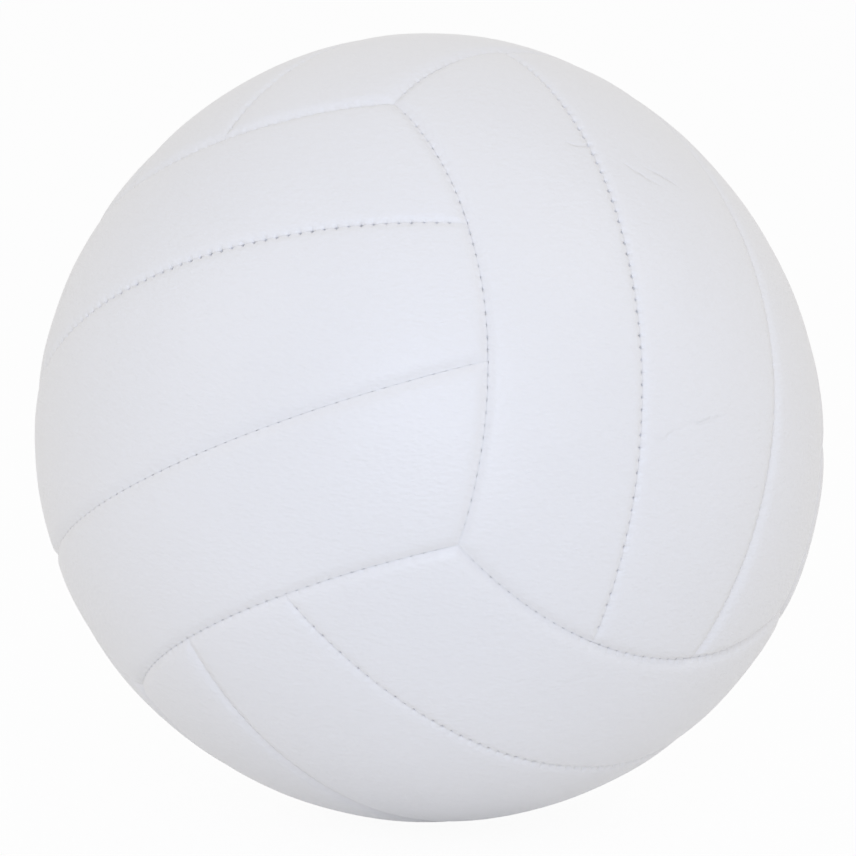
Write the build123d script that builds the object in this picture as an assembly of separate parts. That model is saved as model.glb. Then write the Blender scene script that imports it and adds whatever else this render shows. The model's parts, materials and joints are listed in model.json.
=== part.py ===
# A stitched volleyball: eighteen foam-backed cover strips sewn round a bladder with a needle valve.
# Millimetres and degrees. The ball's centre is the origin and +Z is up as the ball lies.
from build123d import *
import math
import os

# Ball and cover
CIRCUMFERENCE = 660.0      # regulation full size, 650 to 670
SKIN = 1.0                 # thickness of the cover
HEM = 4.2                  # depth of the cover's turned-in edge
ROLL = 1.8                 # outside radius where the cover turns in
SEAM_GAP = 0.2             # between the two hems of a seam
FOAM_GAP = 0.1             # between the cover and its foam
FOAM_ROLL = 0.6            # rounding of the foam's outer edge
BLADDER_GAP = 0.2          # between the foam and the bladder
BLADDER_WALL = 0.6

# Layout of the strips: six faces of a cube, three strips on each
END_BOW = 8.1              # bow of a seam across the strip ends, past the cube's straight edge
STRIP_HALF = 14.2          # from a face's centre line to its strip seam, at the waist
STRIP_LEAN = 10.4          # lean of the strip seam's plane away from the centre line
WALL_TIP = 4.0             # how far the cone of an end wall has its tip from the ball's centre

# Lock stitch
THREAD = 0.5               # diameter
THREAD_GAP = 0.1           # between a thread and the back of its hem
STITCH_DEPTH = 2.8         # below the ball's surface
THREAD_STOP = 4.0          # from a thread's end to the seam that crosses it

# Valve, along the axis of the top face's middle strip
VALVE_HOLE = 4.6           # radius of the hole in the cover
NECK = 4.3                 # radius of the boot's neck
NECK_GAP = 0.1             # between the neck and the bladder, patch and foam
NECK_RECESS = 0.8          # boot's top below the ball's surface
BOOT_DROP = 16.0           # boot's tube below the bladder
FLANGE = 13.0              # radius of the boot's flange inside the bladder
FLANGE_WALL = 1.4
PATCH = 17.0               # radius of the patch outside the bladder
PATCH_WALL = 0.8
LAYER_GAP = 0.05           # between the bladder and what is bonded to it
CORE = 2.2                 # radius of the core's stem
CORE_FIT = 0.05            # clearance of the stem in the boot
CORE_HEAD = 3.0            # radius of the core's head
HEAD_WALL = 0.9
HEAD_RECESS = 1.2          # head's top below the ball's surface
CORE_OVERHANG = 1.5        # stem below the boot's tube
NEEDLE_BORE = 1.1          # radius
FUNNEL = 0.5               # depth and width of the lead-in at the needle bore's mouth

# How the ball lies: turned about X, then its own Y, then its own Z
LIE = Rotation(-27.4, -7.8, -135.7)

# Derived sizes
RADIUS = CIRCUMFERENCE / (2 * math.pi)
HEM_GAP = SEAM_GAP / 2
THREAD_ROOM = THREAD + 3 * THREAD_GAP
HEM_FOOT = RADIUS - HEM
BLADDER_OUT = HEM_FOOT - BLADDER_GAP
BLADDER_IN = BLADDER_OUT - BLADDER_WALL
STITCH_RADIUS = RADIUS - STITCH_DEPTH
THREAD_REACH = HEM_GAP + SKIN + THREAD_GAP + THREAD / 2

# Each face by its outward normal and the direction across its strips, in the layout's own axes
X = Vector(1, 0, 0)
Y = Vector(0, 1, 0)
Z = Vector(0, 0, 1)
FACES = {
    "front_left": (X, Z),
    "front_right": (Y, X),
    "top": (Z, Y),
    "back_right": (-X, Z),
    "back_left": (-Y, X),
    "bottom": (-Z, Y),
}
VALVE_FACE = "top"
HALF_TURN = Rotation(180, 0, 0)


def on_face(name):
    """Move from the model face, which looks along +X with its strips along Y, to a named face."""
    normal, across = FACES[name]
    return Plane(origin=(0, 0, 0), x_dir=normal, z_dir=across).location


# Seams of the model face: the wall at its +Y end, and the wall of its strip seam on the +Z side
bow = math.radians(END_BOW)
skew = (math.sqrt(2 / 3) - math.cos(bow)) / math.sin(bow)
END_AXIS = Vector(1 - skew, 1 + skew, 0).normalized()
END_SIDE = Vector(-END_AXIS.Y, END_AXIS.X, 0)
END_ANGLE = math.acos(END_AXIS.dot(Vector(1, 1, 1).normalized()))
END_SLOPE = math.atan2(RADIUS * math.sin(END_ANGLE), RADIUS * math.cos(END_ANGLE) - WALL_TIP)
lean = math.radians(STRIP_LEAN)
STRIP_NORMAL = Vector(-math.sin(lean), 0, math.cos(lean))
STRIP_SIDE = Vector(math.cos(lean), 0, math.sin(lean))
STRIP_HEIGHT = RADIUS * math.sin(math.radians(STRIP_HALF) - lean)


def end_cone(inset):
    """Inside of the end wall, drawn in by inset. Its tip, which lies inside the bladder, is cut off."""
    tip = WALL_TIP + inset / math.sin(END_SLOPE)
    low = 0.3 * RADIUS
    high = 1.2 * RADIUS
    base = Plane(origin=END_AXIS * low, x_dir=Z * 0.4 - END_SIDE, z_dir=END_AXIS)
    spread = math.tan(END_SLOPE)
    return Solid.make_cone((low - tip) * spread, (high - tip) * spread, high - low, base)


def beyond_strip(inset):
    """Everything past the strip seam's wall, on the outer strip's side, drawn in by inset."""
    wall = Plane(origin=STRIP_NORMAL * (STRIP_HEIGHT + inset), z_dir=STRIP_NORMAL)
    return wall * Box(4 * RADIUS, 4 * RADIUS, 2 * RADIUS, align=(Align.CENTER, Align.CENTER, Align.MIN))


def shell(inner, outer):
    """The round shell between two radii, with the line where its surface closes behind the model face."""
    return Rotation(0, 0, 180) * (Sphere(outer) - Sphere(inner))


def strip_block(middle, outer, inner, inset, roll):
    """A strip of the shell between two radii, held back from its seams, with its outer edge rolled."""
    body = shell(inner, outer)
    if middle:
        body -= beyond_strip(-inset)
        body -= HALF_TURN * beyond_strip(-inset)
    else:
        body &= beyond_strip(inset)
    body &= end_cone(inset)
    body &= HALF_TURN * end_cone(inset)
    if not middle:
        body -= on_face("top") * end_cone(-inset)
    rim = body.edges().filter_by(lambda edge: abs((edge @ 0.5).length - outer) < roll / 10)
    return fillet(rim, roll)


def end_circle(radius, inset):
    """The end wall's circle at a distance from the ball's centre: its centre, and its own radius."""
    tip = WALL_TIP + inset / math.sin(END_SLOPE)
    angle = END_SLOPE - math.asin(tip / radius * math.sin(END_SLOPE))
    return END_AXIS * (radius * math.cos(angle)), radius * math.sin(angle)


def end_point(turn, inset):
    """A point beside the end seam at stitch depth, turn radians round it from its middle."""
    centre, size = end_circle(STITCH_RADIUS, inset)
    return centre + (END_SIDE * math.cos(turn) + Z * math.sin(turn)) * size


def strip_point(turn, inset):
    """A point beside the strip seam at stitch depth, turn radians round it from its middle."""
    height = STRIP_HEIGHT + inset
    size = math.sqrt(STITCH_RADIUS ** 2 - height ** 2)
    return STRIP_NORMAL * height + (STRIP_SIDE * math.cos(turn) + Y * math.sin(turn)) * size


def tee_turn():
    """How far round the end seam, from its middle, the strip seam meets it."""
    low, high = 0.0, math.pi / 2
    for _ in range(40):
        turn = (low + high) / 2
        if end_point(turn, 0).dot(STRIP_NORMAL) < STRIP_HEIGHT:
            low = turn
        else:
            high = turn
    return turn


def thread_run(point_at, start, stop, inset):
    """One thread along the back of a hem, on the circle arc between two turns."""
    stations = [point_at(turn, inset) for turn in (start, (start + stop) / 2, stop)]
    path = Edge.make_three_point_arc(*stations)
    return sweep(Plane(origin=path @ 0, z_dir=path % 0) * Circle(THREAD / 2), path)


def end_threads():
    """Lock stitch of the end seam: one thread outside, and one inside that stops at the strip seams."""
    size = STITCH_RADIUS * math.sin(END_ANGLE)
    tee = tee_turn()
    gap = THREAD_STOP / size
    corner = math.atan2(1, Vector(1, 1, 1).dot(END_SIDE)) - gap
    spans = [(-corner, -tee - gap), (gap - tee, tee - gap), (tee + gap, corner)]
    inside = [thread_run(end_point, start, stop, THREAD_REACH) for start, stop in spans]
    return inside + [thread_run(end_point, -corner, corner, -THREAD_REACH)]


def strip_threads():
    """Lock stitch of the strip seam: a thread behind each of its two hems."""
    tee = end_point(tee_turn(), 0)
    reach = math.atan2(tee.Y, tee.dot(STRIP_SIDE)) - THREAD_STOP / STITCH_RADIUS
    return [thread_run(strip_point, -reach, reach, side * THREAD_REACH) for side in (-1, 1)]


def cover_strip(middle):
    """Cover of one strip: a skin with its edges rolled over and turned in."""
    block = strip_block(middle, RADIUS, HEM_FOOT, HEM_GAP, ROLL)
    hollow = strip_block(middle, RADIUS - SKIN, HEM_FOOT - HEM, HEM_GAP + SKIN, ROLL - SKIN)
    return block - hollow


def foam_strip(middle):
    """Foam behind one strip, cut back from the hems to leave room for the thread."""
    inset = HEM_GAP + SKIN + THREAD_ROOM
    return strip_block(middle, RADIUS - SKIN - FOAM_GAP, HEM_FOOT, inset, FOAM_ROLL)


# Valve pieces stand along +X of the model face
UPRIGHT = Plane.YZ


def post(radius, low, high):
    """A round bar on the valve's axis between two distances from the ball's centre."""
    return UPRIGHT.offset(low) * Cylinder(radius, high - low, align=(Align.CENTER, Align.CENTER, Align.MIN))


def disc(radius, inner, outer):
    """A round patch of the shell between two radii, centred on the valve's axis."""
    return shell(inner, outer) & post(radius, BLADDER_IN / 2, RADIUS + HEM)


def valve_boot():
    top = RADIUS - NECK_RECESS
    foot = BLADDER_IN - BOOT_DROP
    seat = RADIUS - HEAD_RECESS - HEAD_WALL - CORE_FIT
    rim = BLADDER_IN - LAYER_GAP
    body = post(NECK, foot, top) + disc(FLANGE, rim - FLANGE_WALL, rim)
    body -= post(CORE + CORE_FIT, foot - 1, top)
    return body - post(CORE_HEAD + CORE_FIT, seat, top + 1)


def valve_core():
    top = RADIUS - HEAD_RECESS
    foot = BLADDER_IN - BOOT_DROP - CORE_OVERHANG
    body = post(CORE, foot, top) + post(CORE_HEAD, top - HEAD_WALL, top)
    mouth = UPRIGHT.offset(top - FUNNEL / 2) * Cone(NEEDLE_BORE, NEEDLE_BORE + FUNNEL, FUNNEL)
    return body - post(NEEDLE_BORE, foot - 1, top + 1) - mouth


def valve_patch():
    inner = BLADDER_OUT + LAYER_GAP
    return disc(PATCH, inner, inner + PATCH_WALL) - post(NECK + NECK_GAP, BLADDER_IN, RADIUS)


def bladder():
    return shell(BLADDER_IN, BLADDER_OUT) - post(NECK + NECK_GAP, BLADDER_IN / 2, RADIUS)


def both_sides(threads):
    """The threads of a face's two like seams."""
    return Compound(children=threads + [HALF_TURN * thread for thread in threads])


def save(name, face, shape):
    """Write one piece, moved from the model face to its own and laid as the ball lies."""
    placed = [LIE * on_face(face) * solid for solid in shape.solids()]
    export_step(Compound(children=placed) if len(placed) > 1 else placed[0], f"parts/{name}.step")


os.makedirs("parts", exist_ok=True)

middle_cover = cover_strip(True)
outer_cover = cover_strip(False)
middle_foam = foam_strip(True)
outer_foam = foam_strip(False)
strip_thread = strip_threads()
end_thread = end_threads()

# The middle strip of the valve's face is pierced, and its foam makes room for the patch
valve_cover = middle_cover - post(VALVE_HOLE, BLADDER_IN, RADIUS + HEM)
patch_room = disc(PATCH + NECK_GAP, BLADDER_IN, BLADDER_OUT + PATCH_WALL + 3 * LAYER_GAP)
valve_foam = middle_foam - post(VALVE_HOLE, BLADDER_IN, RADIUS + HEM) - patch_room

for face in FACES:
    pierced = face == VALVE_FACE
    save(f"{face}_panel_1", face, HALF_TURN * outer_cover)
    save(f"{face}_panel_2", face, valve_cover if pierced else middle_cover)
    save(f"{face}_panel_3", face, outer_cover)
    save(f"{face}_foam_1", face, HALF_TURN * outer_foam)
    save(f"{face}_foam_2", face, valve_foam if pierced else middle_foam)
    save(f"{face}_foam_3", face, outer_foam)
    save(f"{face}_strip_thread", face, both_sides(strip_thread))
    save(f"{face}_end_thread", face, both_sides(end_thread))

save("bladder", VALVE_FACE, bladder())
save("valve_boot", VALVE_FACE, valve_boot())
save("valve_core", VALVE_FACE, valve_core())
save("valve_patch", VALVE_FACE, valve_patch())
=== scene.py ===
import json
import math
from collections import namedtuple

import bpy
import numpy as np
from mathutils import Matrix, Vector


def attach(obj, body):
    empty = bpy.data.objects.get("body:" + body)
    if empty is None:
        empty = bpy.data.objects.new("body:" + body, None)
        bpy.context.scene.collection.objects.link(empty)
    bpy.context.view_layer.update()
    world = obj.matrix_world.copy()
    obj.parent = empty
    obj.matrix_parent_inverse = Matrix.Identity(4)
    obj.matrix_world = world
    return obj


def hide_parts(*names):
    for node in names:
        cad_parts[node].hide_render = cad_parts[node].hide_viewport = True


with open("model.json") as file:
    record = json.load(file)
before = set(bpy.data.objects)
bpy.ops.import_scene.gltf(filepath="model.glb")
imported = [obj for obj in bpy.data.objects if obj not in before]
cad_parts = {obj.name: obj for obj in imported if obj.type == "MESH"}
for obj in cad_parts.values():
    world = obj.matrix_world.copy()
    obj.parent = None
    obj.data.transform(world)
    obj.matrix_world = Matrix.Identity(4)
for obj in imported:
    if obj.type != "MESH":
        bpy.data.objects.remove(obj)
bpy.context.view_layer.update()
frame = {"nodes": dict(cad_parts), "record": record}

mounts = {mount["name"]: mount for mount in frame["record"]["mounts"]}

# Ball and cover, in millimetres; the ball's radius comes from the seat under it
MM = 0.001
RADIUS = -mounts["cradle_seat"]["pos_m"][2] / MM
SKIN = 1.0
HEM = 4.2
HEM_GAP = 0.01
CROWN = 0.2
CROWN_REACH = 5.0
WAVE = 0.09

# Powers that curve a seam's shoulder, and that join the shoulders where seams meet
SHOULDER_CURVE = 1.6
SEAM_BLEND = 4

# Layout of the strips, in degrees, and how the ball lies
END_BOW = 8.1
STRIP_HALF = 14.2
STRIP_LEAN = 10.4
LIE = (-27.4, -7.8, -135.7)

# Camera's height angle, and how the ball is out of round seen from there: number of lobes, their height
# in millimetres, and where one peaks in degrees clockwise from the right; fading out behind
ELEVATION = math.radians(8.3)
RIGHT = np.array([1, 0, 0])
UP = np.array([0, math.sin(ELEVATION), math.cos(ELEVATION)])
TOWARD = np.array([0, -math.cos(ELEVATION), math.sin(ELEVATION)])
LOBES = ((2, 0.56, 46), (3, 0.87, 31), (4, 0.31, 4))
LOBES_START = -0.35
LOBES_FULL = -0.05

# Kinds of seam: how hard the thread is drawn, how deep and how wide the cover rolls in, and how round
# the bottom of the groove is, the last three in millimetres
SeamLook = namedtuple("SeamLook", "pull drop shoulder round")
LOW_STRIP = SeamLook(pull=0.45, drop=1.25, shoulder=3.0, round=0.55)
HIGH_STRIP = SeamLook(pull=1.3, drop=0.75, shoulder=2.3, round=0.3)
FACE_END = SeamLook(pull=0.66, drop=1.5, shoulder=2.8, round=0.5)

# Stitches, in millimetres, and the sides of their thread
PITCH = 3.2
PIT_LENGTH = 0.34
PIT_GAPE = 0.34
PIT_REACH = 0.5
PUCKER = 0.3
PUCKER_LENGTH = 0.7
PUCKER_REACH = 0.9
STITCH_STOP = 2.6
THREAD = 0.5
THREAD_SIDES = 6
STITCH_DEPTH = 1.75
THREAD_REACH = 1.45

# Points of one stitch: share of the thread's reach across the seam, and slip along it in millimetres
STITCH_PATH = ((1.0, -0.35), (0.6, 0), (-0.6, 0), (-1.0, 0.35))

# How the pull of the stitches varies: its mean, from one to the next, and slowly along a seam
PULL_MEAN = 0.78
PULL_JITTER = 0.18
PULL_DRIFT = 0.25

# Foam pads, in millimetres: distance from the seam and depth of each row, and room for the valve
PAD_ROWS = ((1.9, 2.1), (2.2, 1.5), (2.9, 1.15))
PAD_DEPTH = 1.1
PATCH_ROOM = 20.5
PATCH_DEPTH = 3.4
NECK_ROOM = 4.4
VALVE_HOLE = 4.6

# Punch for the valve's holes, its length in millimetres
PUNCH_SIDES = 64
PUNCH_LENGTH = 30.0

# Mesh of a panel: spacing along the seams, rim steps to one step of the even grid in its middle, the
# rows from a seam inwards, and rounds to find where a row lies
SEAM_STEP = 0.29
CORE_SKIP = 8
FINE_ROWS = (0.0, 0.12, 0.28, 0.5, 0.8, 1.2)
COARSE_ROWS = (1.7, 2.6, 4.0)
CORE_ROW = 6.0
INSET_ROUNDS = 3

# Hem: depth of each row down its face with the rim steps to one of its own, then distance from the seam
# and depth of each row up its back
HEM_FACE = ((1.9, 1), (2.5, 1), (3.2, 2), (HEM, 4))
HEM_BACK = ((SKIN, HEM), (SKIN, 1.6 * SKIN), (1.8 * SKIN, SKIN))

# Leather's grain: relief in millimetres, pebbles and streaks to a metre, how each is stretched, the
# streaks' share, and how far both are bent in metres
GRAIN_RELIEF = 0.12
PEBBLES = 780.0
STREAKS = 560.0
PEBBLE_STRETCH = (0.7, 0.7, 1.35)
STREAK_STRETCH = (0.35, 0.35, 1.5)
STREAK_SHARE = 0.9
GRAIN_BEND = 0.0016

# Leather's folds: relief in millimetres, width and wandering in metres, the shares of its length where
# each end fades, and the ends of each fold in millimetres to the right of the ball's middle and above it
CREASE_RELIEF = 0.22
CREASE_WIDTH = 0.0007
CREASE_WANDER = 0.006
CREASE_FADES = ((0.0, 0.3), (1.0, 0.6))
CREASES = (
    ((54, -3), (66, 1)),
    ((62, 1), (77, 4)),
    ((49, 70), (61, 62)),
    ((55, 69), (67, 62)),
    ((34, 74), (43, 73)),
)

# Leather's two close tones, range of roughness, and the painted shade that greys it down in the seams
LEATHER_TONES = ((0.822, 0.807, 0.800), (0.860, 0.845, 0.838))
LEATHER_ROUGHNESS = (0.40, 0.52)
SEAM_SHADE_TONE = (0.62, 0.63, 0.65)
SEAM_SHADE_SHARE = 0.04
SEAM_SHADE_REACH = 0.5

# Camera: the photograph's side, and the ball's radius and middle in it, in pixels; then its distance in
# metres and its sensor in millimetres
FRAME_PIXELS = 856
BALL_PIXELS = 393.6
BALL_CENTRE = (429.6, 431.0)
DISTANCE = 13.5 * RADIUS * MM
SENSOR = 36

# Studio: light of the world, white share of the floor as seen, its paint, its radius and the gap above
# it in metres, and the colours of the lamps
WORLD_LIGHT = 0.65
FLOOR_SEEN = 0.95
FLOOR_PAINT = (0.93, 0.93, 0.93)
FLOOR_ROUGHNESS = 0.9
FLOOR_RADIUS = 6.0
FLOOR_SIDES = 96
FLOOR_GAP = 0.0002
COOL_LIGHT = (0.60, 0.72, 1.0)
WARM_LIGHT = (1.0, 0.96, 0.92)

# Faces of the cube layout: the way each looks, and the way across its strips
FACES = {
    "front_left": ((1, 0, 0), (0, 0, 1)),
    "front_right": ((0, 1, 0), (1, 0, 0)),
    "top": ((0, 0, 1), (0, 1, 0)),
    "back_right": ((-1, 0, 0), (0, 0, 1)),
    "back_left": ((0, -1, 0), (1, 0, 0)),
    "bottom": ((0, 0, -1), (0, 1, 0)),
}
VALVE_FACE = "top"
HALF_TURN = np.diag([1.0, -1.0, -1.0])


def lie_matrix():
    """Turn from the layout's axes to the part's axes."""
    turns = [Matrix.Rotation(math.radians(angle), 3, axis) for angle, axis in zip(LIE, "XYZ")]
    return np.array(turns[0] @ turns[1] @ turns[2])


def face_matrix(name):
    """Turn from the model face, which looks along +X with its strips along Y, to a named face."""
    normal, across = (np.array(v, float) for v in FACES[name])
    return np.column_stack([normal, np.cross(across, normal), across])


def on_view(right, up):
    """Point of the ball's near side, in metres, at millimetres right and up in the photograph."""
    toward = math.sqrt(RADIUS ** 2 - right ** 2 - up ** 2)
    return Vector(RIGHT * right + UP * up + TOWARD * toward) * MM


def unit(vectors):
    """Vectors scaled to a length of one."""
    return vectors / np.linalg.norm(vectors, axis=-1, keepdims=True)


def out_of_round(directions):
    """How far the ball stands out from a true sphere, in millimetres, on the side photographed."""
    right, up, toward = directions @ RIGHT, directions @ UP, directions @ TOWARD
    from_middle = np.hypot(right, up)
    angle = np.arctan2(-up, right)
    bulge = np.zeros(len(directions))
    for lobes, height, peak in LOBES:
        bulge += height * from_middle ** lobes * np.cos(lobes * (angle - math.radians(peak)))
    share = np.clip((toward - LOBES_START) / (LOBES_FULL - LOBES_START), 0, 1)
    return bulge * share ** 2 * (3 - 2 * share)


def settle(points):
    """Move points of the cover in or out with the ball's shape, less the deeper they lie."""
    directions = unit(points)
    depth = RADIUS - np.linalg.norm(points, axis=1)
    share = np.clip(1 - depth / HEM, 0, 1)
    return points + directions * (share * out_of_round(directions))[:, None]


class Seam:
    """A seam's circle on the unit sphere: its axis, its half angle and the side of it a panel is on."""

    def __init__(self, axis, angle, middle):
        self.axis = unit(np.array(axis, float))
        self.angle = angle
        self.side = unit(middle - self.axis * (self.axis @ middle))
        self.cross = np.cross(self.axis, self.side)

    def point(self, turn):
        """Points of the seam, turn radians round it from its middle."""
        outward = np.multiply.outer(np.cos(turn), self.side) + np.multiply.outer(np.sin(turn), self.cross)
        return self.axis * math.cos(self.angle) + outward * math.sin(self.angle)

    def turn(self, points):
        """Radians round the seam from its middle."""
        return np.arctan2(points @ self.cross, points @ self.side)

    def along(self, points):
        """Distance along the seam from its middle, in millimetres."""
        return self.turn(points) * RADIUS * math.sin(self.angle)

    def apart(self, points):
        """Distance from the seam, in millimetres, positive outside its circle."""
        return RADIUS * (np.arccos(np.clip(points @ self.axis, -1, 1)) - self.angle)

    def away(self, points):
        """Unit directions on the surface, square to the seam and out of its circle."""
        return unit(points * (points @ self.axis)[:, None] - self.axis)

    def arc(self, start, stop):
        """The seam between two of its points, as a function of a fraction."""
        first, last = self.turn(start), self.turn(stop)
        return lambda share: self.point(first + (last - first) * share)


def meeting(one, two, near):
    """The point where two seams cross, the one closer to a direction."""
    across = np.cross(one.axis, two.axis)
    lean = one.axis @ two.axis
    heights = np.array([math.cos(one.angle), math.cos(two.angle)])
    shares = np.linalg.solve([[1, lean], [lean, 1]], heights)
    base = one.axis * shares[0] + two.axis * shares[1]
    rise = across * math.sqrt(1 - base @ base) / np.linalg.norm(across)
    return max(base + rise, base - rise, key=lambda point: point @ np.array(near, float))


# Seams of the model face
bow = math.radians(END_BOW)
skew = (math.sqrt(2 / 3) - math.cos(bow)) / math.sin(bow)
end_x, end_y, _ = unit(np.array([1 - skew, 1 + skew, 0]))
end_angle = math.acos((end_x + end_y) / math.sqrt(3))
lean = math.radians(STRIP_LEAN)
strip_angle = math.pi / 2 - math.radians(STRIP_HALF) + lean
END_A = Seam((end_x, -end_y, 0), end_angle, np.array([1, -1, 0]))
END_B = Seam((end_x, end_y, 0), end_angle, np.array([1, 1, 0]))
STRIP_A = Seam((-math.sin(lean), 0, -math.cos(lean)), strip_angle, np.array([1, 0, 0]))
STRIP_B = Seam((-math.sin(lean), 0, math.cos(lean)), strip_angle, np.array([1, 0, 0]))
LONG_B = Seam((end_y, 0, end_x), end_angle, np.array([1, 0, 1]))


class Panel:
    """A strip of the model face: four seams round it, and the surface spread between them."""

    def __init__(self, low, high, looks):
        # Each seam with +1 where the panel lies outside its circle and -1 where it lies inside
        self.seams = [(low, 1 if low is STRIP_A else -1), (high, 1), (END_A, -1), (END_B, -1)]
        self.looks = (*looks, FACE_END, FACE_END)
        self.corners = [[meeting(end, seam, (1, y, z)) for y, end in ((-1, END_A), (1, END_B))]
                        for z, seam in ((0, low), (1, high))]
        if low is STRIP_A:
            self.corners[0] = [meeting(end, low, (1, y, -1)) for y, end in ((-1, END_A), (1, END_B))]
        (a, b), (c, d) = self.corners
        self.low, self.high = low.arc(a, b), high.arc(c, d)
        self.left, self.right = END_A.arc(a, c), END_B.arc(b, d)
        self.length = RADIUS * sum(math.acos(p @ q) for p, q in ((a, b), (c, d))) / 2
        self.end = RADIUS * math.acos(a @ c)
        self.ends = [[seam.along(p) for p in (start, stop)] for (seam, _), start, stop in
                     zip(self.seams, (a, c, a, b), (b, d, c, d))]

    def spread(self, u, v):
        """Directions at fractions u along the strip and v across it."""
        (a, b), (c, d) = self.corners
        u1, v1 = u[:, None], v[:, None]
        edges = self.low(u) * (1 - v1) + self.high(u) * v1 + self.left(v) * (1 - u1) + self.right(v) * u1
        corners = (a * (1 - u1) + b * u1) * (1 - v1) + (c * (1 - u1) + d * u1) * v1
        return unit(edges - corners)

    def inset(self, s, t, distance):
        """Directions at fractions s and t of the strip that is left when its rim is taken off."""
        u, v = s, t
        for _ in range(INSET_ROUNDS):
            width = RADIUS * np.arccos(np.clip((self.low(u) * self.high(u)).sum(1), -1, 1))
            reach = RADIUS * np.arccos(np.clip((self.left(v) * self.right(v)).sum(1), -1, 1))
            u = distance / reach + (1 - 2 * distance / reach) * s
            v = distance / width + (1 - 2 * distance / width) * t
        return self.spread(u, v)


MIDDLE = Panel(STRIP_A, STRIP_B, (LOW_STRIP, HIGH_STRIP))
LOWER = Panel(STRIP_B, LONG_B, (LOW_STRIP, FACE_END))
UPPER = Panel(STRIP_B, LONG_B, (HIGH_STRIP, FACE_END))


def stitch_pull(along, limits, length):
    """How strongly the nearest stitch pulls at places along a seam, none near the seam's ends."""
    number = np.round(along / PITCH)
    pull = np.exp(-((along - number * PITCH) / length) ** 2)
    jitter = np.sin(number * 2.4 + 1.3 * np.cos(number * 0.9))
    drift = np.sin(number * 0.1 + 0.9)
    pull *= PULL_MEAN + PULL_JITTER * jitter + PULL_DRIFT * drift
    low, high = min(limits) + STITCH_STOP, max(limits) - STITCH_STOP
    place = number * PITCH
    return np.where((place > low) & (place < high), pull, 0)


def unevenness(points):
    """Slow waves of the padded surface, between about -1 and 1."""
    x, y, z = points.T
    return np.sin(17 * y + 3 * z) * np.cos(19 * z - 5 * x) * 0.6 + np.sin(31 * z + 11 * y + 1) * 0.4


def drape(panel, points, depth=None):
    """Lay cover points on the ball: rolled into the seams, gaping and puckered at each stitch.
    With a depth given, they are on the hem or behind the face. Returns places and distances to a seam."""
    shift = np.zeros_like(points)
    rolled = np.zeros(len(points))
    sunk = np.zeros(len(points))
    nearest = np.full(len(points), RADIUS)
    for (seam, outside), limits, look in zip(panel.seams, panel.ends, panel.looks):
        gap = np.maximum(seam.apart(points) * outside, 0)
        along = seam.along(points)
        pit = look.pull * stitch_pull(along, limits, PIT_LENGTH)
        wide = look.pull * stitch_pull(along, limits, PUCKER_LENGTH)
        opening = (HEM_GAP + PIT_GAPE * pit) * np.exp(-gap / PIT_REACH)
        shift += seam.away(points) * (outside * opening)[:, None]
        roll = np.clip(1 - np.hypot(gap, look.round) / look.shoulder, 0, 1)
        rolled += (look.drop * roll ** SHOULDER_CURVE) ** SEAM_BLEND
        sunk += PUCKER * wide * np.exp(-(gap / PUCKER_REACH) ** 2)
        sunk += CROWN * np.exp(-(gap / CROWN_REACH) ** 2)
        nearest = np.minimum(nearest, gap)
    if depth is None:
        rolled = np.minimum(rolled ** (1 / SEAM_BLEND), FACE_END.drop)
        depth = rolled + sunk + WAVE * unevenness(points)
    spots = unit(points + shift / RADIUS) * (RADIUS - np.broadcast_to(depth, len(points)))[:, None]
    return spots, nearest


def rim_loop(long_count, end_count):
    """Fractions s and t round the rim of a strip, anticlockwise from outside."""
    along = np.arange(long_count) / long_count
    across = np.arange(end_count) / end_count
    s = np.concatenate([along, np.ones(end_count), 1 - along, np.zeros(end_count)])
    t = np.concatenate([np.zeros(long_count), across, np.ones(long_count), 1 - across])
    return s, t


class Mesh:
    """Vertices and faces of a piece as it is put together."""

    def __init__(self):
        self.points = []
        self.gaps = []
        self.faces = []
        self.count = 0

    def add(self, points, gaps):
        """New vertices, with their distances to a seam; returns their numbers."""
        self.points.append(points)
        self.gaps.append(gaps)
        self.count += len(points)
        return np.arange(self.count - len(points), self.count)

    def band(self, outer, inner):
        """Join two loops of the same count, or a fine loop to one of half its count."""
        if len(outer) == len(inner):
            quads = np.column_stack([outer, np.roll(outer, -1), np.roll(inner, -1), inner])
            self.faces += quads.tolist()
            return
        fine, coarse = (outer, inner) if len(outer) > len(inner) else (inner, outer)
        first, mid, last = fine[0::2], fine[1::2], np.roll(fine, -2)[0::2]
        near, far = coarse, np.roll(coarse, -1)
        triples = [(first, mid, near), (mid, far, near), (mid, last, far)]
        for a, b, c in triples:
            order = (a, b, c) if fine is outer else (c, b, a)
            self.faces += np.column_stack(order).tolist()

    def patch(self, grid, flip):
        """Fill a grid of vertices with quads."""
        corners = [grid[:-1, :-1], grid[:-1, 1:], grid[1:, 1:], grid[1:, :-1]]
        quads = np.stack(corners, -1).reshape(-1, 4)
        self.faces += (quads[:, ::-1] if flip else quads).tolist()

    def build(self, name, turn):
        """The piece itself, turned to its place on the ball and settled into the ball's shape."""
        mesh = bpy.data.meshes.new(name)
        points = settle(np.concatenate(self.points) @ turn.T) * MM
        mesh.from_pydata(points.tolist(), [], self.faces)
        seam = mesh.attributes.new("seam", "FLOAT", "POINT")
        seam.data.foreach_set("value", np.concatenate(self.gaps).astype(np.float32))
        mesh.polygons.foreach_set("use_smooth", np.ones(len(mesh.polygons), bool))
        mesh.update()
        piece = bpy.data.objects.new(name, mesh)
        bpy.context.scene.collection.objects.link(piece)
        return piece


def rim_count(length):
    """Steps along one side of a panel's rim, a whole number of steps of the grid in its middle."""
    return CORE_SKIP * max(2, round(length / SEAM_STEP / CORE_SKIP))


def core_grid(panel):
    """Fractions along and across a panel for the even grid in its middle."""
    along, across = (rim_count(side) // CORE_SKIP + 1 for side in (panel.length, panel.end))
    return np.meshgrid(np.linspace(0, 1, along), np.linspace(0, 1, across))


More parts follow.
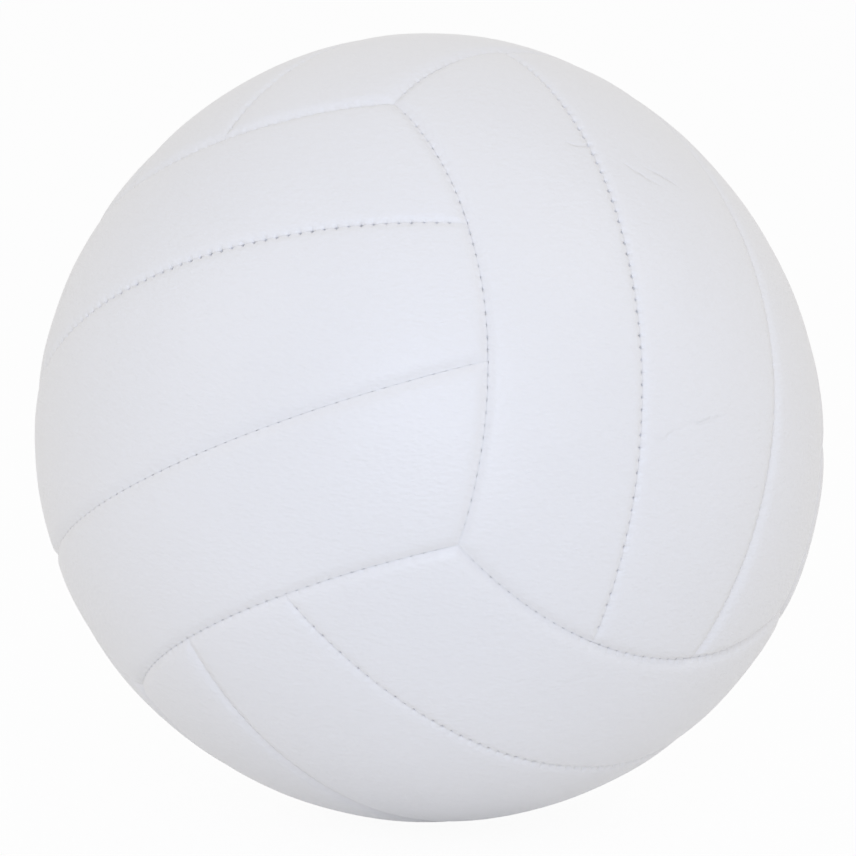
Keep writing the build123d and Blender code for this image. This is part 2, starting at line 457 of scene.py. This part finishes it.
def grid_rim(grid):
    """Vertices round a grid, in the order of rim_loop."""
    return np.concatenate([grid[0, :-1], grid[:-1, -1], grid[-1, :0:-1], grid[:0:-1, 0]])


def cover_mesh(panel):
    """A panel's cover: rolled and stitched face, turned-in hems, and the hollow behind for the foam."""
    mesh = Mesh()
    s, t = rim_loop(rim_count(panel.length), rim_count(panel.end))
    u, v = core_grid(panel)

    def ring(distance, skip=1, depth=None):
        return mesh.add(*drape(panel, panel.inset(s[::skip], t[::skip], distance), depth))

    def core(depth=None):
        points = panel.inset(u.ravel(), v.ravel(), CORE_ROW)
        grid = mesh.add(*drape(panel, points, depth)).reshape(u.shape)
        mesh.patch(grid, depth is not None)
        return grid_rim(grid)

    rows = [ring(distance) for distance in FINE_ROWS]
    rows += [ring(distance, 2 ** (step + 1)) for step, distance in enumerate(COARSE_ROWS)]
    for outer, inner in zip(rows, rows[1:]):
        mesh.band(outer, inner)
    mesh.band(rows[-1], core())

    # Hem, from the rolled edge down to its foot, then up the back of it
    hem = [ring(0.0, skip, depth) for depth, skip in HEM_FACE]
    hem += [ring(distance, CORE_SKIP, depth) for distance, depth in HEM_BACK]
    for inner, outer in zip([rows[0]] + hem, hem):
        mesh.band(outer, inner)
    mesh.band(core(SKIN), hem[-1])
    return mesh


def pad_mesh(panel, valve):
    """The foam behind a panel, clear of its hems and thread; hollowed below for the valve's patch."""
    mesh = Mesh()
    s, t = rim_loop(rim_count(panel.length) // CORE_SKIP, rim_count(panel.end) // CORE_SKIP)
    u, v = core_grid(panel)

    def lay(points, depth):
        spots = points * (RADIUS - np.broadcast_to(depth, len(points)))[:, None]
        return mesh.add(spots, np.zeros(len(points)))

    def core(foot):
        points = panel.inset(u.ravel(), v.ravel(), CORE_ROW)
        depth = PAD_DEPTH
        if foot:
            from_valve = RADIUS * np.arccos(np.clip(points[:, 0], -1, 1))
            depth = np.where(valve & (from_valve < PATCH_ROOM), PATCH_DEPTH, HEM)
        grid = lay(points, depth).reshape(u.shape)
        mesh.patch(grid, foot)
        return grid_rim(grid)

    foot_distance = PAD_ROWS[0][0]
    loops = [core(True), lay(panel.inset(s, t, foot_distance), HEM)]
    loops += [lay(panel.inset(s, t, distance), depth) for distance, depth in PAD_ROWS]
    loops.append(core(False))
    for outer, inner in zip(loops, loops[1:]):
        mesh.band(outer, inner)
    return mesh


def thread_tube(mesh, path):
    """A thread along a path of points."""
    ahead = unit(np.gradient(path, axis=0))
    up = unit(path)
    side = unit(np.cross(ahead, up))
    up = np.cross(side, ahead)
    loops = []
    for angle in np.arange(THREAD_SIDES) * 2 * math.pi / THREAD_SIDES:
        loops.append(path + (side * math.cos(angle) + up * math.sin(angle)) * (THREAD / 2))
    points = np.stack(loops, 1).reshape(-1, 3)
    grid = mesh.add(points, np.zeros(len(points))).reshape(-1, THREAD_SIDES)
    for near, far in zip(grid, grid[1:]):
        mesh.band(far, near)
    mesh.faces += [grid[0].tolist(), grid[-1][::-1].tolist()]


def running_stitch(mesh, seam, low, high):
    """One thread that crosses a seam at each stitch and runs behind a hem to the next."""
    path = []
    side = 1
    first = math.ceil((low + STITCH_STOP) / PITCH)
    last = math.floor((high - STITCH_STOP) / PITCH)
    for number in range(first, last + 1):
        turn = number * PITCH / RADIUS / math.sin(seam.angle)
        place = seam.point(np.array([turn]))
        away = seam.away(place)[0]
        ahead = np.cross(place[0], away)
        centre = place[0] * (RADIUS - STITCH_DEPTH)
        for share, slip in STITCH_PATH:
            path.append(centre + away * (side * share * THREAD_REACH) - ahead * slip)
        side = -side
    thread_tube(mesh, np.array(path))


def thread_mesh(kind):
    """Stitches of a face's two strip seams, or of the seams at its two ends."""
    mesh = Mesh()
    for turn in (np.eye(3), HALF_TURN):
        half = Mesh()
        if kind == "strip":
            low, high = UPPER.ends[0]
            running_stitch(half, STRIP_B, min(low, high), max(low, high))
        else:
            tees = sorted(MIDDLE.ends[3])
            corner = max(UPPER.ends[3])
            for low, high in ((-corner, tees[0]), tuple(tees), (tees[1], corner)):
                running_stitch(half, END_B, low, high)
        start = mesh.count
        mesh.add(np.concatenate(half.points) @ turn.T, np.concatenate(half.gaps))
        mesh.faces += [[index + start for index in face] for face in half.faces]
    return mesh


# Sockets of a node that mixes colours
MIX_MASK = 0
MIX_FIRST = 6
MIX_SECOND = 7
MIX_RESULT = 2


def add_node(tree, kind, **values):
    """A node with its properties and input values set by name."""
    node = tree.nodes.new(kind)
    for name, value in values.items():
        if name in node.inputs:
            node.inputs[name].default_value = value
        else:
            setattr(node, name, value)
    return node


def math_node(tree, operation, first, second):
    """A math node on two sockets or numbers."""
    node = tree.nodes.new("ShaderNodeMath")
    node.operation = operation
    for socket, value in zip(node.inputs, (first, second)):
        if isinstance(value, (int, float)):
            socket.default_value = value
        else:
            tree.links.new(value, socket)
    return node.outputs[0]


def vector_node(tree, operation, first, second=None):
    """A vector math node on one or two sockets; its number output where it has one."""
    node = tree.nodes.new("ShaderNodeVectorMath")
    node.operation = operation
    tree.links.new(first, node.inputs[0])
    if second is not None:
        tree.links.new(second, node.inputs[1])
    return node.outputs["Value" if operation in ("DOT_PRODUCT", "LENGTH") else "Vector"]


def map_range(tree, source, start, stop, kind="LINEAR"):
    """A socket's value carried over from one range to another."""
    node = add_node(tree, "ShaderNodeMapRange", interpolation_type=kind)
    for label, value in zip(("From Min", "From Max", "To Min", "To Max"), (*start, *stop)):
        node.inputs[label].default_value = value
    tree.links.new(source, node.inputs["Value"])
    return node.outputs[0]


def seen_rays(tree):
    """One for rays that show a surface: to the camera, in a reflection or through glass."""
    path = tree.nodes.new("ShaderNodeLightPath")
    seen = math_node(tree, "MAXIMUM", path.outputs["Is Camera Ray"], path.outputs["Is Glossy Ray"])
    return math_node(tree, "MAXIMUM", seen, path.outputs["Is Transmission Ray"])


def new_group(name, inputs, outputs, vectors=()):
    """A shader node group: a place and other vectors, float inputs with defaults, and float outputs."""
    tree = bpy.data.node_groups.new(name, "ShaderNodeTree")
    for label in ("Place", *vectors):
        tree.interface.new_socket(label, in_out="INPUT", socket_type="NodeSocketVector")
    for label, value in inputs.items():
        socket = tree.interface.new_socket(label, in_out="INPUT", socket_type="NodeSocketFloat")
        socket.default_value = value
    for label in outputs:
        tree.interface.new_socket(label, in_out="OUTPUT", socket_type="NodeSocketFloat")
    return tree, tree.nodes.new("NodeGroupInput"), tree.nodes.new("NodeGroupOutput")


def pebble_grain_group():
    """Pressed pebbles with streaks along them, and slow patches of tone."""
    scales = {"Pebbles": PEBBLES, "Streaks": STREAKS}
    tree, given, result = new_group("pebble_grain", scales, ("Height", "Patch"))
    link = tree.links.new
    warp = add_node(tree, "ShaderNodeTexNoise", Scale=300.0, Detail=2.0)
    link(given.outputs["Place"], warp.inputs["Vector"])
    bend = add_node(tree, "ShaderNodeVectorMath", operation="MULTIPLY_ADD")
    link(warp.outputs["Color"], bend.inputs[0])
    bend.inputs[1].default_value = (GRAIN_BEND, GRAIN_BEND, GRAIN_BEND)
    link(given.outputs["Place"], bend.inputs[2])
    flat = add_node(tree, "ShaderNodeVectorMath", operation="MULTIPLY")
    link(bend.outputs[0], flat.inputs[0])
    flat.inputs[1].default_value = PEBBLE_STRETCH
    cells = add_node(tree, "ShaderNodeTexVoronoi", feature="SMOOTH_F1", Smoothness=0.6)
    link(flat.outputs[0], cells.inputs["Vector"])
    link(given.outputs["Pebbles"], cells.inputs["Scale"])
    long = add_node(tree, "ShaderNodeVectorMath", operation="MULTIPLY")
    link(bend.outputs[0], long.inputs[0])
    long.inputs[1].default_value = STREAK_STRETCH
    streaks = add_node(tree, "ShaderNodeTexNoise", Detail=3.0, Roughness=0.6)
    link(long.outputs[0], streaks.inputs["Vector"])
    link(given.outputs["Streaks"], streaks.inputs["Scale"])
    domes = math_node(tree, "SUBTRACT", 1.0, cells.outputs["Distance"])
    height = math_node(tree, "MULTIPLY_ADD", streaks.outputs[0], STREAK_SHARE)
    link(domes, height.node.inputs[2])
    link(height, result.inputs["Height"])
    patch = add_node(tree, "ShaderNodeTexNoise", Scale=18.0, Detail=3.0)
    link(given.outputs["Place"], patch.inputs["Vector"])
    link(patch.outputs[0], result.inputs["Patch"])
    return tree


def fine_speckle_group():
    """Fine even speckle for foam, rubber and thread."""
    tree, given, result = new_group("fine_speckle", {"Size": 900.0}, ("Height", "Patch"))
    link = tree.links.new
    specks = add_node(tree, "ShaderNodeTexNoise", Detail=4.0, Roughness=0.65)
    link(given.outputs["Place"], specks.inputs["Vector"])
    link(given.outputs["Size"], specks.inputs["Scale"])
    link(specks.outputs[0], result.inputs["Height"])
    patch = add_node(tree, "ShaderNodeTexNoise", Scale=60.0, Detail=2.0)
    link(given.outputs["Place"], patch.inputs["Vector"])
    link(patch.outputs[0], result.inputs["Patch"])
    return tree


def leather_crease_group():
    """One fine fold between two points, fading at both ends and wandering a little."""
    ends = ("Start", "Stop")
    tree, given, result = new_group("leather_crease", {"Width": CREASE_WIDTH}, ("Fold",), ends)
    link = tree.links.new
    wander = add_node(tree, "ShaderNodeTexNoise", Scale=110.0, Detail=2.0)
    link(given.outputs["Place"], wander.inputs["Vector"])
    centred = add_node(tree, "ShaderNodeVectorMath", operation="SUBTRACT")
    link(wander.outputs["Color"], centred.inputs[0])
    centred.inputs[1].default_value = (0.5, 0.5, 0.5)
    moved = add_node(tree, "ShaderNodeVectorMath", operation="MULTIPLY_ADD")
    link(centred.outputs[0], moved.inputs[0])
    moved.inputs[1].default_value = (CREASE_WANDER, CREASE_WANDER, CREASE_WANDER)
    link(given.outputs["Place"], moved.inputs[2])
    from_start = vector_node(tree, "SUBTRACT", moved.outputs[0], given.outputs["Start"])
    whole = vector_node(tree, "SUBTRACT", given.outputs["Stop"], given.outputs["Start"])
    reach = vector_node(tree, "DOT_PRODUCT", from_start, whole)
    share = math_node(tree, "DIVIDE", reach, vector_node(tree, "DOT_PRODUCT", whole, whole))
    beside = add_node(tree, "ShaderNodeVectorMath", operation="SCALE")
    link(whole, beside.inputs[0])
    link(share, beside.inputs["Scale"])
    off = vector_node(tree, "SUBTRACT", from_start, beside.outputs[0])
    outward = vector_node(tree, "NORMALIZE", given.outputs["Place"])
    on_surface = vector_node(tree, "CROSS_PRODUCT", off, outward)
    width = math_node(tree, "DIVIDE", vector_node(tree, "LENGTH", on_surface), given.outputs["Width"])
    fall = math_node(tree, "MULTIPLY", math_node(tree, "MULTIPLY", width, width), -1.0)
    fold = math_node(tree, "EXPONENT", fall, 0.0)
    for span in CREASE_FADES:
        fade = map_range(tree, share, span, (0.0, 1.0), "SMOOTHSTEP")
        fold = math_node(tree, "MULTIPLY", fold, fade)
    link(fold, result.inputs["Fold"])
    return tree


PEBBLE_GRAIN = pebble_grain_group()
LEATHER_CREASE = leather_crease_group()
FINE_SPECKLE = fine_speckle_group()


def start_material(name, group, roughness):
    """A material with its shader, a place on the object and one effect group."""
    material = bpy.data.materials.new(name)
    material.use_nodes = True
    tree = material.node_tree
    shader = tree.nodes["Principled BSDF"]
    shader.inputs["Roughness"].default_value = roughness
    place = tree.nodes.new("ShaderNodeTexCoord")
    effect = tree.nodes.new("ShaderNodeGroup")
    effect.node_tree = group
    tree.links.new(place.outputs["Object"], effect.inputs["Place"])
    return material, tree, shader, effect


def add_bump(tree, shader, height, strength, distance):
    """Relief from a height socket."""
    bump = add_node(tree, "ShaderNodeBump", Strength=strength, Distance=distance)
    tree.links.new(height, bump.inputs["Height"])
    tree.links.new(bump.outputs[0], shader.inputs["Normal"])


def blend_colours(tree, mask, low, high):
    """Two colours, the first one a socket or numbers, mixed by a mask socket."""
    mix = add_node(tree, "ShaderNodeMix", data_type="RGBA")
    if isinstance(low, tuple):
        mix.inputs[MIX_FIRST].default_value = (*low, 1)
    else:
        tree.links.new(low, mix.inputs[MIX_FIRST])
    mix.inputs[MIX_SECOND].default_value = (*high, 1)
    tree.links.new(mask, mix.inputs[MIX_MASK])
    return mix.outputs[MIX_RESULT]


def cover_leather():
    """White synthetic leather, pebbled, with painted shade making it a little greyer down in the seams.
    """
    material, tree, shader, grain = start_material("cover_leather", PEBBLE_GRAIN, LEATHER_ROUGHNESS[0])
    link = tree.links.new
    place = tree.nodes["Texture Coordinate"]
    shader.inputs["Specular IOR Level"].default_value = 0.5
    base = blend_colours(tree, grain.outputs["Patch"], *LEATHER_TONES)
    seam = add_node(tree, "ShaderNodeAttribute", attribute_name="seam")
    # Painted shade: the leather's colour greys towards each seam, where the groove is in shade
    seam_shade = map_range(tree, seam.outputs["Fac"], (0.0, SEAM_SHADE_REACH), (SEAM_SHADE_SHARE, 0.0), "SMOOTHSTEP")
    link(blend_colours(tree, seam_shade, base, SEAM_SHADE_TONE), shader.inputs["Base Color"])
    roughness = map_range(tree, grain.outputs["Patch"], (0.0, 1.0), LEATHER_ROUGHNESS)
    link(roughness, shader.inputs["Roughness"])
    height = math_node(tree, "MULTIPLY", grain.outputs["Height"], GRAIN_RELIEF)
    for start, stop in CREASES:
        crease = tree.nodes.new("ShaderNodeGroup")
        crease.node_tree = LEATHER_CREASE
        link(place.outputs["Object"], crease.inputs["Place"])
        crease.inputs["Start"].default_value = on_view(*start)
        crease.inputs["Stop"].default_value = on_view(*stop)
        fold = math_node(tree, "MULTIPLY", crease.outputs["Fold"], CREASE_RELIEF)
        height = math_node(tree, "SUBTRACT", height, fold)
    add_bump(tree, shader, height, 1.0, MM)
    return material


def speckled(name, low, high, size, roughness, strength, distance):
    """A plain body material: two close tones, fine speckle in its relief."""
    material, tree, shader, specks = start_material(name, FINE_SPECKLE, roughness)
    specks.inputs["Size"].default_value = size
    tones = blend_colours(tree, specks.outputs["Patch"], low, high)
    tree.links.new(tones, shader.inputs["Base Color"])
    add_bump(tree, shader, specks.outputs["Height"], strength, distance)
    return material


COVER = cover_leather()
# Thread tones: partly the thread's own off-white, partly painted shade that darkens the stitch pits
SEAM_THREAD = speckled("seam_thread", (0.62, 0.62, 0.62), (0.74, 0.74, 0.73),
                       size=3000.0, roughness=0.75, strength=0.5, distance=0.0002)
PANEL_FOAM = speckled("panel_foam", (0.80, 0.76, 0.64), (0.86, 0.83, 0.73),
                      size=1400.0, roughness=0.95, strength=0.6, distance=0.0004)
BLADDER_RUBBER = speckled("bladder_rubber", (0.018, 0.018, 0.019), (0.03, 0.03, 0.031),
                          size=500.0, roughness=0.6, strength=0.2, distance=0.0002)
BOOT_RUBBER = speckled("boot_rubber", (0.70, 0.70, 0.69), (0.77, 0.77, 0.75),
                       size=900.0, roughness=0.55, strength=0.2, distance=0.0002)
CORE_RUBBER = speckled("core_rubber", (0.035, 0.035, 0.036), (0.05, 0.05, 0.05),
                       size=1200.0, roughness=0.5, strength=0.2, distance=0.0001)
PATCH_CLOTH = speckled("patch_cloth", (0.42, 0.42, 0.39), (0.50, 0.50, 0.47),
                       size=1800.0, roughness=0.9, strength=0.6, distance=0.0003)


def dress(node, material):
    """Give a kept solid its finish."""
    mesh = frame["nodes"][node].data
    mesh.materials.clear()
    mesh.materials.append(material)


def stand_for(piece, node, material):
    """Let a modelled piece take a solid's place on the ball."""
    piece.data.materials.append(material)
    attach(piece, "ball")
    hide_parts(node)


def pierce_for_valve(piece, radius):
    """Cut the round valve hole through a panel's cover or foam."""
    axis = Vector(mounts["needle_port"]["axis"])
    bpy.ops.mesh.primitive_cylinder_add(vertices=PUNCH_SIDES, radius=radius * MM, depth=PUNCH_LENGTH * MM)
    punch = bpy.context.object
    lean = axis.to_track_quat("Z", "Y").to_matrix().to_4x4()
    punch.matrix_world = Matrix.Translation(axis * RADIUS * MM) @ lean
    cut = piece.modifiers.new("valve_hole", "BOOLEAN")
    cut.operation = "DIFFERENCE"
    cut.object = punch
    bpy.context.view_layer.update()
    cut_piece = piece.evaluated_get(bpy.context.evaluated_depsgraph_get())
    holed = bpy.data.meshes.new_from_object(cut_piece)
    piece.modifiers.clear()
    piece.data = holed
    bpy.data.objects.remove(punch)


lie = lie_matrix()
cover_shapes = {"1": (LOWER, HALF_TURN), "2": (MIDDLE, np.eye(3)), "3": (UPPER, np.eye(3))}
covers = {panel: cover_mesh(panel) for panel in (LOWER, MIDDLE, UPPER)}
threads = {kind: thread_mesh(kind) for kind in ("strip", "end")}
for face in FACES:
    turn = lie @ face_matrix(face)
    for number, (panel, flip) in cover_shapes.items():
        valve = face == VALVE_FACE and panel is MIDDLE
        cover = covers[panel].build(f"{face}_cover_{number}", turn @ flip)
        pad = pad_mesh(panel, valve).build(f"{face}_pad_{number}", turn @ flip)
        if valve:
            pierce_for_valve(cover, VALVE_HOLE)
            pierce_for_valve(pad, NECK_ROOM)
        stand_for(cover, f"{face}_panel_{number}", COVER)
        stand_for(pad, f"{face}_foam_{number}", PANEL_FOAM)
    for kind, mesh in threads.items():
        piece = mesh.build(f"{face}_{kind}_stitches", turn)
        stand_for(piece, f"{face}_{kind}_thread", SEAM_THREAD)

dress("bladder", BLADDER_RUBBER)
dress("valve_boot", BOOT_RUBBER)
dress("valve_core", CORE_RUBBER)
dress("valve_patch", PATCH_CLOTH)


def photo_camera():
    """Camera at the photograph's angle, with the ball as large and where it is there."""
    scene = bpy.context.scene
    focal_pixels = BALL_PIXELS * math.sqrt(DISTANCE ** 2 - (RADIUS * MM) ** 2) / (RADIUS * MM)
    camera_data = bpy.data.cameras.new("camera")
    camera_data.sensor_width = SENSOR
    camera_data.lens = focal_pixels / FRAME_PIXELS * SENSOR
    camera = bpy.data.objects.new("camera", camera_data)
    scene.collection.objects.link(camera)
    camera.location = (0, -DISTANCE * math.cos(ELEVATION), DISTANCE * math.sin(ELEVATION))
    per_pixel = DISTANCE / focal_pixels
    aim = Vector((0, 0, 0))
    aim.x -= (BALL_CENTRE[0] - FRAME_PIXELS / 2) * per_pixel
    aim.z += (BALL_CENTRE[1] - FRAME_PIXELS / 2) * per_pixel
    camera.rotation_euler = (aim - camera.location).to_track_quat("-Z", "Y").to_euler()
    scene.camera = camera


def soft_lamp(name, place, size, watts, colour):
    """A square soft light that looks at the ball."""
    light = bpy.data.lights.new(name, "AREA")
    light.size = size
    light.energy = watts
    light.color = colour
    lamp = bpy.data.objects.new(name, light)
    bpy.context.scene.collection.objects.link(lamp)
    lamp.location = place
    lamp.rotation_euler = (-Vector(place)).to_track_quat("-Z", "Y").to_euler()


def studio_world():
    """White to the camera and to reflections, a plain level of light otherwise."""
    world = bpy.data.worlds.new("studio")
    bpy.context.scene.world = world
    world.use_nodes = True
    tree = world.node_tree
    background = tree.nodes["Background"]
    strength = math_node(tree, "MULTIPLY_ADD", seen_rays(tree), 1 - WORLD_LIGHT)
    strength.node.inputs[2].default_value = WORLD_LIGHT
    tree.links.new(strength, background.inputs["Strength"])
    background.inputs["Color"].default_value = (1, 1, 1, 1)


def pale_floor():
    """A floor that is nearly white as seen, and keeps the ball's shadow."""
    place = (0, 0, -RADIUS * MM - FLOOR_GAP)
    bpy.ops.mesh.primitive_circle_add(vertices=FLOOR_SIDES, radius=FLOOR_RADIUS, fill_type="NGON",
                                      location=place)
    floor = bpy.context.object
    floor.name = "floor"
    paint = bpy.data.materials.new("floor_paint")
    paint.use_nodes = True
    tree = paint.node_tree
    shader = tree.nodes["Principled BSDF"]
    shader.inputs["Base Color"].default_value = (*FLOOR_PAINT, 1)
    shader.inputs["Roughness"].default_value = FLOOR_ROUGHNESS
    shader.inputs["Specular IOR Level"].default_value = 0.0
    white = add_node(tree, "ShaderNodeEmission", Strength=1.0)
    mix = tree.nodes.new("ShaderNodeMixShader")
    tree.links.new(math_node(tree, "MULTIPLY", seen_rays(tree), FLOOR_SEEN), mix.inputs[0])
    tree.links.new(shader.outputs[0], mix.inputs[1])
    tree.links.new(white.outputs[0], mix.inputs[2])
    tree.links.new(mix.outputs[0], tree.nodes["Material Output"].inputs["Surface"])
    floor.data.materials.append(paint)
    return floor


photo_camera()
soft_lamp("front_softbox", place=(0.0, -1.91, 0.6), size=1.05, watts=11.7, colour=COOL_LIGHT)
soft_lamp("left_softbox", place=(-1.65, -0.53, 1.0), size=0.8, watts=2.8, colour=WARM_LIGHT)
soft_lamp("right_softbox", place=(1.34, -0.46, 1.41), size=0.8, watts=3.6, colour=WARM_LIGHT)
studio_world()
floor = pale_floor()

bpy.context.scene.view_settings.view_transform = "Standard"
